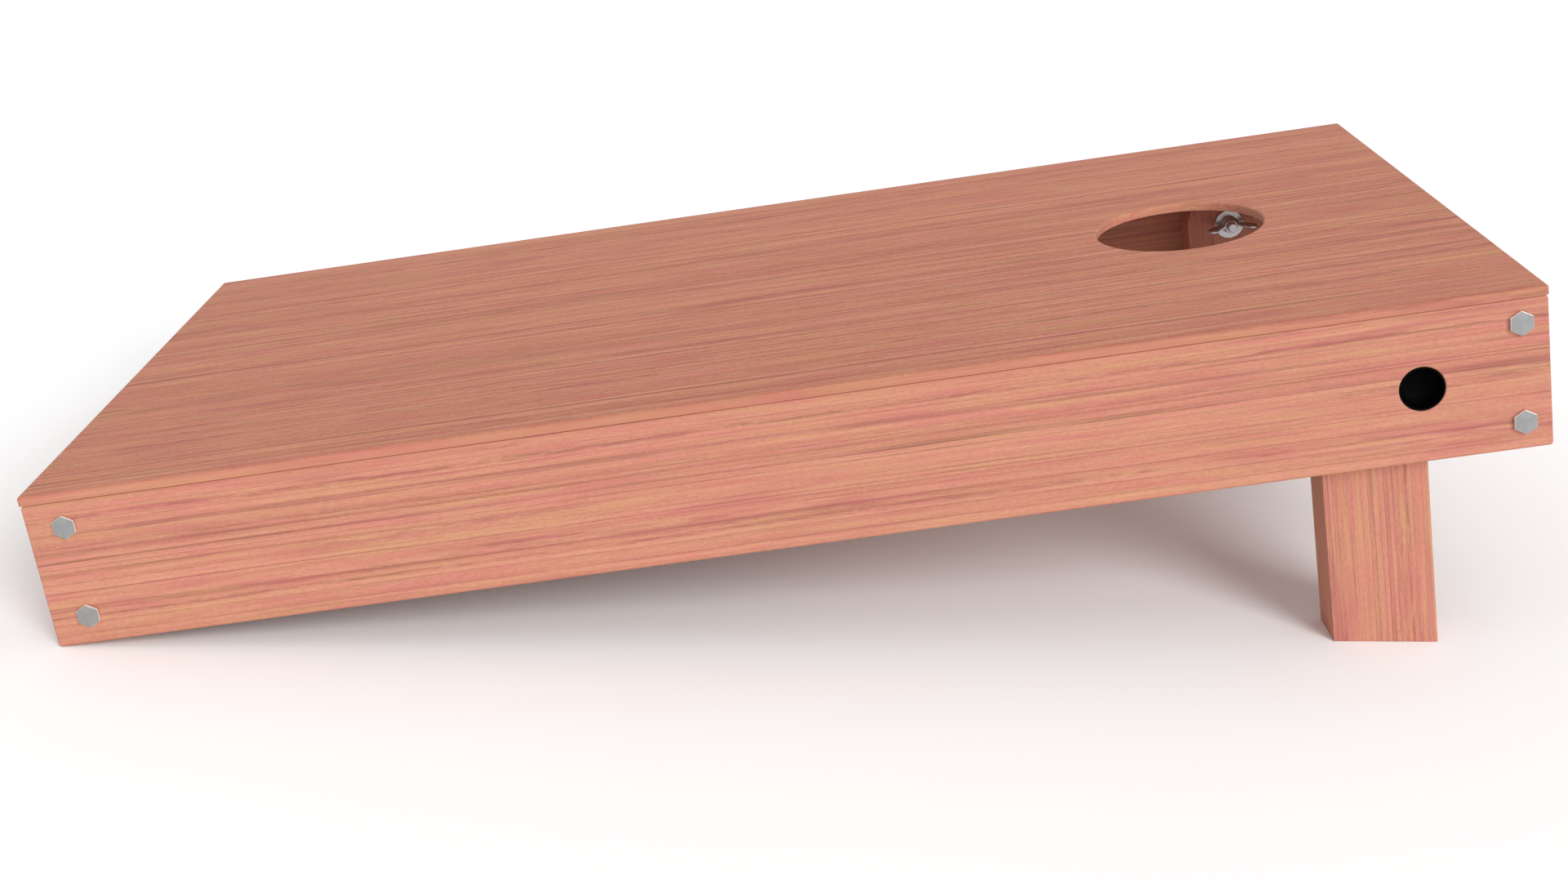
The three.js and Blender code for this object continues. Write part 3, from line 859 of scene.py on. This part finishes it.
def threaded_stud(base, tip):
    """A stud along z with a thread on its last stretch. The thread fades in, and the tip has a chamfer."""
    segments, steps = 40, 8
    pitch = THREAD["pitch"]
    thread_start = tip - THREAD["length"]
    heights = [base, thread_start - 0.001]
    count = int(THREAD["length"] / pitch * steps)
    heights += [thread_start + THREAD["length"] * k / count for k in range(count + 1)]
    shape = Shape()
    rings = []
    for z in heights:
        fade = min(1, max(0, (z - thread_start) / pitch))
        depth = fade * THREAD["depth"]
        chamfer = max(0, z - (tip - STUD_CHAMFER))
        pairs = []
        for k in range(segments):
            angle = 2 * math.pi * k / segments
            phase = 2 * math.pi * z / pitch - angle
            radius = STUD_RADIUS - depth * (0.5 - 0.5 * math.cos(phase)) - chamfer * 0.7
            slope = depth * math.pi / pitch * math.sin(phase)
            way = Vector((math.cos(angle), math.sin(angle)))
            pairs.append((Vector((*(way * radius), z)), Vector((*way, slope))))
        rings.append(shape.ring(pairs))
    for a, b in zip(rings, rings[1:]):
        shape.bridge(a, b)
    for ring, normal in ((rings[0], -Z), (rings[-1], Z)):
        flat = shape.ring([(shape.points[i], normal) for i in ring])
        shape.cap([flat])
    return shape


def add_pivot_plate(side):
    """The plate against the rail, and the stud welded to it, which the leg turns on."""
    node = "pivot_plate_" + side
    low, high = board_box(node)
    x, z = pivot_of(side)
    near, far = distances(node)
    half_width, half_height = (high.x - low.x) / 2, (high.z - low.z) / 2
    outline = rounded_rectangle((-half_width, -half_height), (half_width, half_height), PLATE_CORNER, 8)
    holes = []
    for screw in screws_of(f"pivot_plate_screw_{side}"):
        top, _, _ = axis_of(screw)
        holes.append(round_hole(((top.x - x) * SIDES[side], top.z - z), PLATE_SCREW_RADIUS, 36))
    shape = plate(outline, holes, 0, PLATE_THICKNESS, STEEL_EDGE, 3)
    shape.add(threaded_stud(PLATE_THICKNESS / 2, far - near))
    mesh = to_mesh(shape, node)
    weld(mesh)
    place = inward_place(x, SIDES[side] * far, z, side)
    add_piece("v_" + node, mesh, MATERIALS["zinc_steel"], node, place)


def add_leg(side):
    """A leg with a round top and a foot cut level with the ground."""
    node = "leg_" + side
    low, high = board_box(node)
    x, z = pivot_of(side)
    half = (high.x - low.x) / 2
    # The foot is cut level. The top's two roundings all but meet, and make it a half circle.
    fall = -math.tan(TILT)
    path = [(low.x, low.x * fall), (high.x, high.x * fall), (high.x, high.z), (low.x, high.z)]
    outline = rounded_outline(path, [LEG_CORNER, LEG_CORNER, half * 0.995, half * 0.995], 28)
    bore = round_hole((x, z), LEG_BORE_RADIUS, 40)
    near, far = sorted((-high.y, -low.y))
    shape = plate(outline, [bore], near, far, LEG_EDGE).moved(ON_SIDE)
    wooden_piece(node, to_mesh(shape, node), Z, X, offset=(SIDES[side] * 2.6, -x, 1.4))


def add_washer(side):
    node = "pivot_washer_" + side
    low, high = board_box(node)
    outer = (high.x - low.x) / 2
    thickness = high.y - low.y
    x, z = pivot_of(side)
    path = [(LEG_BORE_RADIUS, 0), (outer, 0), (outer, thickness), (LEG_BORE_RADIUS, thickness)]
    shape = turned(rounded_outline(path, [0.0003, 0.0004, 0.0004, 0.0003], 4), 72, closed=True)
    place = inward_place(x, SIDES[side] * distances(node)[1], z, side)
    add_piece("v_" + node, to_mesh(shape, node), MATERIALS["zinc_steel"], node, place)


# A wing's tip is given by its half width and by how high its middle is
WING_NUT = {
    "base": 0.0092,
    "top": 0.0072,
    "height": 0.011,
    "bore": 0.0053,
    "thickness": 0.0034,
    "tip": 0.0045,
    "tip_height": 0.018,
}
VOXEL = 0.00045


def wing_nut_mesh(span):
    """A cast wing nut. Its hub and wings are fused and smoothed, which rounds their joins."""
    n = WING_NUT
    height = n["height"]
    hub_path = [(0, 0), (n["base"], 0), (n["top"], height), (0, height)]
    shape = turned(rounded_outline(hub_path, [0, 0.0008, 0.0008, 0], 4, closed=False), 48)
    tip = span / 2 - n["tip"]
    wing = [(0.003, 0.002), (0.013, 0.0025), (tip + n["tip"], n["tip_height"] - 0.0032)]
    wing += [(tip + n["tip"], n["tip_height"] + n["tip"]), (tip - 0.0035, n["tip_height"] + n["tip"])]
    wing += [(0.009, height - 0.0005), (0.003, height - 0.0005)]
    radii = [0, 0.003, 0.002, 0.0044, 0.0038, 0.003, 0]
    for way in (1, -1):
        path = [(x * way, y) for x, y in (wing if way > 0 else reversed(wing))]
        outline = rounded_outline(path, radii if way > 0 else radii[::-1], 6)
        shape.add(plate(outline, [], -n["thickness"] / 2, n["thickness"] / 2, 0.0012).moved(ON_SIDE))
    nut = bpy.data.objects.new("nut_body", to_mesh(shape, "nut_body", true_normals=False))
    bpy.context.scene.collection.objects.link(nut)
    remesh = nut.modifiers.new("fuse", "REMESH")
    remesh.mode = "VOXEL"
    remesh.voxel_size = VOXEL
    remesh.use_smooth_shade = True
    smooth = nut.modifiers.new("cast", "SMOOTH")
    smooth.factor = 0.6
    smooth.iterations = 6
    view = bpy.context.evaluated_depsgraph_get()
    mesh = bpy.data.meshes.new_from_object(nut.evaluated_get(view), depsgraph=view)
    bpy.data.objects.remove(nut)
    return cut_by(mesh, straight_bore(n["bore"], -0.01, 0.04, 48))


def add_wing_nuts():
    mesh = None
    for side in SIDES:
        node = "wing_nut_" + side
        low, high = board_box(node)
        x, z = pivot_of(side)
        _, far = distances(node)
        if mesh is None:
            mesh = wing_nut_mesh(high.x - low.x)
        place = inward_place(x, SIDES[side] * far, z, side)
        add_piece("v_" + node, mesh, MATERIALS["zinc_steel"], node, place)


# Assembly ----------------------------------------------------------------------------------------------
add_deck()
add_end_rail("low_end_rail", 5.2)
add_end_rail("high_end_rail", 6.4)
add_brace()
add_bolts()
add_wing_nuts()
for side in SIDES:
    add_side_rail(side)
    add_batten(side)
    add_stop_block(side)
    add_cup(side)
    add_pivot_plate(side)
    add_leg(side)
    add_washer(side)
for node in screws_of(""):
    add_screw(node)


# Camera ------------------------------------------------------------------------------------------------
CAMERA = {
    "place": (0.0007, -1.7634, 0.7454),
    "yaw": 0.037,
    "pitch": 17.138,
    "roll": 0.301,
    "lens": 45.205,
    "shift_y": -0.0859,
}


def add_camera():
    """A camera that looks along +y, turned right by its yaw, down by its pitch, and rolled."""
    yaw, pitch, roll = (math.radians(CAMERA[key]) for key in ("yaw", "pitch", "roll"))
    forward = Vector((math.sin(yaw) * math.cos(pitch), math.cos(yaw) * math.cos(pitch), -math.sin(pitch)))
    right = Vector((math.cos(yaw), -math.sin(yaw), 0))
    up = right.cross(forward)
    turned_right = right * math.cos(roll) + up * math.sin(roll)
    turned_up = up * math.cos(roll) - right * math.sin(roll)
    camera = bpy.data.objects.new("camera", bpy.data.cameras.new("camera"))
    bpy.context.scene.collection.objects.link(camera)
    turn = Matrix((turned_right, turned_up, -forward)).transposed().to_4x4()
    camera.matrix_world = Matrix.Translation(CAMERA["place"]) @ turn
    camera.data.sensor_width = 36
    camera.data.lens = CAMERA["lens"]
    camera.data.shift_y = CAMERA["shift_y"]
    camera.data.clip_end = 100
    bpy.context.scene.camera = camera


# Studio ------------------------------------------------------------------------------------------------
FLOOR_SIZE = 60
SKY = {"zenith": 0.92, "horizon": 1.28}
KEY = {"azimuth": 31, "elevation": 28, "strength": 2.12, "softness": 30}


def add_floor():
    half = FLOOR_SIZE / 2
    mesh = bpy.data.meshes.new("floor")
    floor_corners = [(-half, -half, 0), (half, -half, 0), (half, half, 0), (-half, half, 0)]
    mesh.from_pydata(floor_corners, [], [(0, 1, 2, 3)])
    m = Material("floor")
    place = m.node("TexCoord").outputs["Object"]
    tone = m.ramp(m.noise(place, 1.5, detail=3), 0.3, 0.7, 0.945, 0.955)
    colour = m.node("CombineXYZ", {"X": tone, "Y": tone, "Z": tone}).outputs[0]
    mesh.materials.append(m.finish(Base_Color=colour, Roughness=0.9, Specular_IOR_Level=0.1))
    floor = bpy.data.objects.new("floor", mesh)
    bpy.context.scene.collection.objects.link(floor)


def add_sky():
    """A pale room, brighter at the horizon, where it meets the floor."""
    world = bpy.data.worlds.new("studio")
    bpy.context.scene.world = world
    world.use_nodes = True
    tree = world.node_tree
    tree.nodes.clear()
    coordinate = tree.nodes.new("ShaderNodeTexCoord")
    split = tree.nodes.new("ShaderNodeSeparateXYZ")
    ramp = tree.nodes.new("ShaderNodeMapRange")
    fall = tree.nodes.new("ShaderNodeMath")
    fall.operation = "POWER"
    background = tree.nodes.new("ShaderNodeBackground")
    output = tree.nodes.new("ShaderNodeOutputWorld")
    ramp.inputs["To Min"].default_value = 1
    ramp.inputs["To Max"].default_value = 0
    fall.inputs[1].default_value = 2
    scale = tree.nodes.new("ShaderNodeMapRange")
    scale.inputs["To Min"].default_value = SKY["zenith"]
    scale.inputs["To Max"].default_value = SKY["horizon"]
    links = tree.links
    links.new(coordinate.outputs["Generated"], split.inputs[0])
    links.new(split.outputs["Z"], ramp.inputs["Value"])
    links.new(ramp.outputs[0], fall.inputs[0])
    links.new(fall.outputs[0], scale.inputs["Value"])
    links.new(scale.outputs[0], background.inputs["Strength"])
    links.new(background.outputs[0], output.inputs["Surface"])


def add_key_light():
    """A large soft light from the front right, so far off that it lights the whole floor alike."""
    azimuth, elevation = math.radians(KEY["azimuth"]), math.radians(KEY["elevation"])
    level = Vector((math.sin(azimuth), -math.cos(azimuth), 0))
    way = level * math.cos(elevation) + Vector((0, 0, math.sin(elevation)))
    data = bpy.data.lights.new("key", "SUN")
    data.energy = KEY["strength"]
    data.angle = math.radians(KEY["softness"])
    light = bpy.data.objects.new("key", data)
    bpy.context.scene.collection.objects.link(light)
    light.matrix_world = way.to_track_quat("Z", "Y").to_matrix().to_4x4()


add_camera()
add_floor()
add_sky()
add_key_light()
bpy.context.scene.view_settings.view_transform = "Standard"
